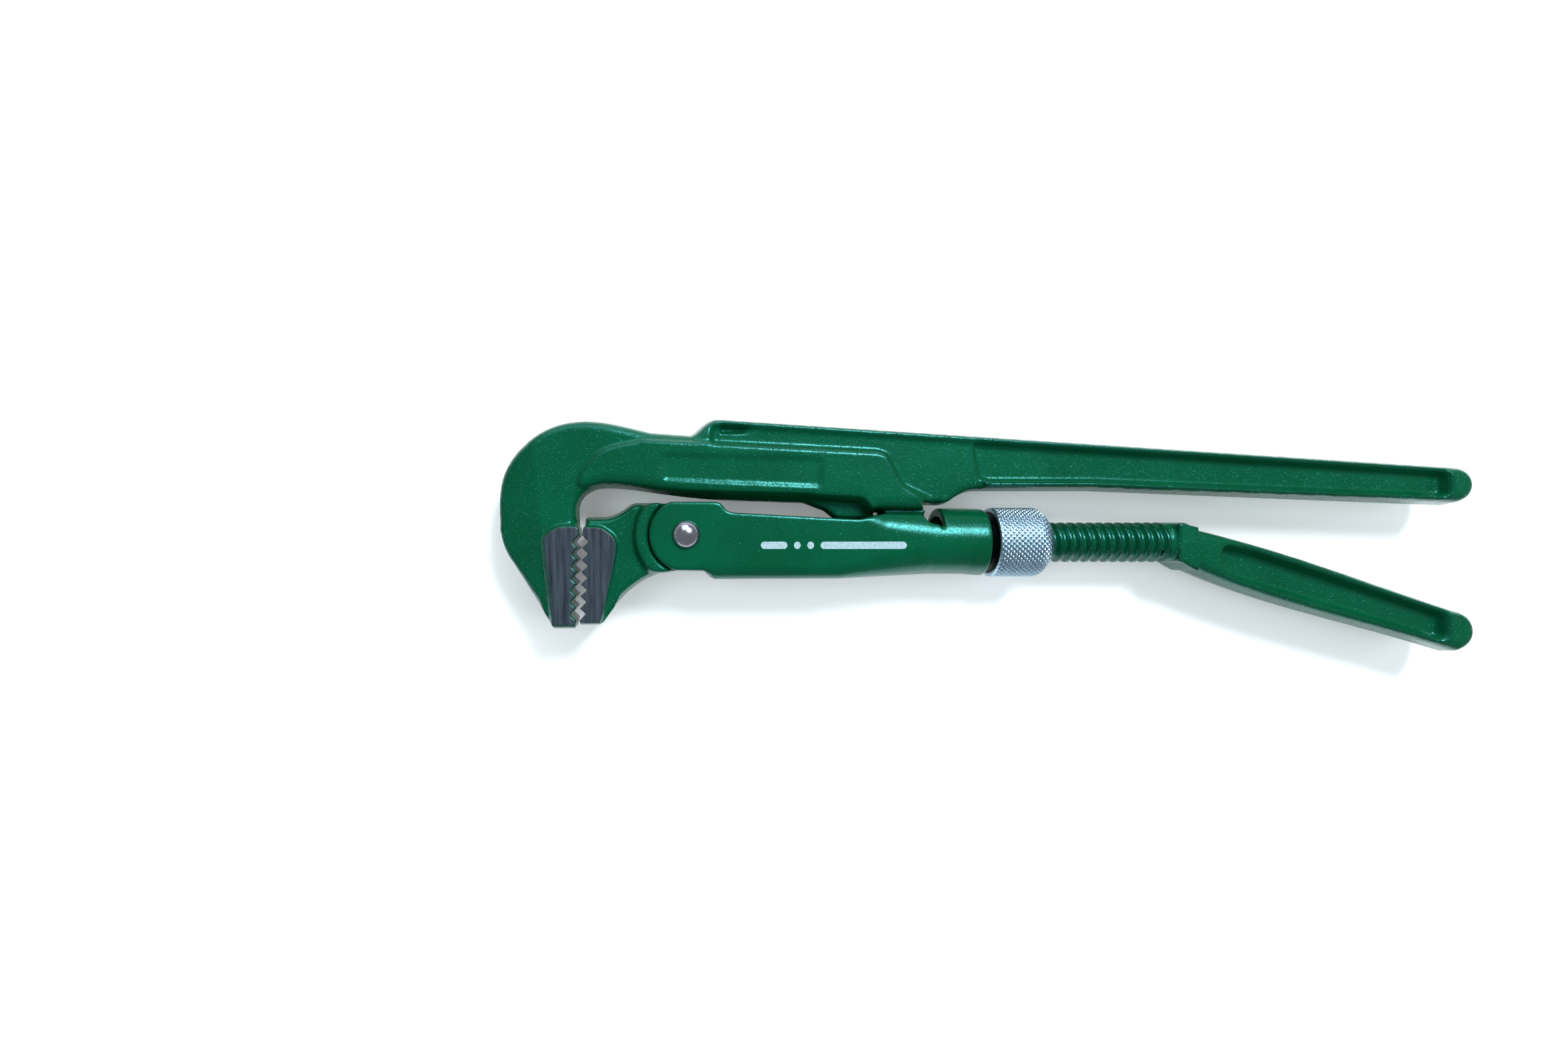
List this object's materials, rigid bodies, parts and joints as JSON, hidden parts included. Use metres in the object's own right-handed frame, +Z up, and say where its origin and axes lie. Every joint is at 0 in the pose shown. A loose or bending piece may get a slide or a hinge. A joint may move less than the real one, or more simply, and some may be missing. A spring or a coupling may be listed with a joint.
{
  "type": "pipe wrench",
  "caption": "Swedish-pattern pipe wrench with toothed jaws square to the handles, a sliding jaw sleeve, a knurled adjusting nut on a threaded leg and painted I-section handles.",
  "frame": {"origin": "centre of the underside of the tool's box, lying flat", "axes": "+X along the handles away from the jaws, +Y from the screw towards the upper leg, +Z up through the thickness"},
  "size_m": [0.3, 0.0724, 0.0266],
  "materials": {
    "green_enamel": "glossy green enamel over forged steel",
    "bright_rivet": "bright plated",
    "zinc_plate": "bright zinc plate",
    "plain_steel": "oiled plain steel",
    "spring_steel": "blued spring steel"
  },
  "bodies": {
    "upper_leg": {"upper_leg": "green_enamel", "fulcrum_pin": "plain_steel"},
    "lower_leg": {"lower_leg": "green_enamel"},
    "sleeve": {"sleeve": "green_enamel", "jaw_rivet": "bright_rivet", "jaw_spring": "spring_steel", "spring_rivet": "plain_steel", "nut_retaining_ring": "plain_steel"},
    "lower_jaw": {"lower_jaw": "green_enamel"},
    "nut": {"knurled_nut": "zinc_plate"}
  },
  "joints": [
    {"name": "handle_pivot", "type": "hinge", "parent": "upper_leg", "child": "lower_leg", "pos_m": [-0.0247, -0.00223, 0.0133], "axis": [0, 0, 1], "range_deg": [0, 3]},
    {"name": "sleeve_slide", "type": "slide", "parent": "lower_leg", "child": "sleeve", "axis": [1, 0, 0], "range_m": [0, 0.027]},
    {"name": "nut_spin", "type": "hinge", "parent": "sleeve", "child": "nut", "pos_m": [0.0083, -0.00223, 0.0133], "axis": [1, 0, 0], "range_deg": [0, 3241]},
    {"name": "jaw_pivot", "type": "hinge", "parent": "sleeve", "child": "lower_jaw", "pos_m": [-0.0922, 0.00007, 0.0133], "axis": [0, 0, 1], "range_deg": [-1.5, 0], "stiffness_Nm_per_rad": 0.5, "springref_deg": 3.44}
  ],
  "couplings": [
    {"joint": "nut_spin", "follows": "sleeve_slide", "rad_per_m": 2094.4}
  ]
}
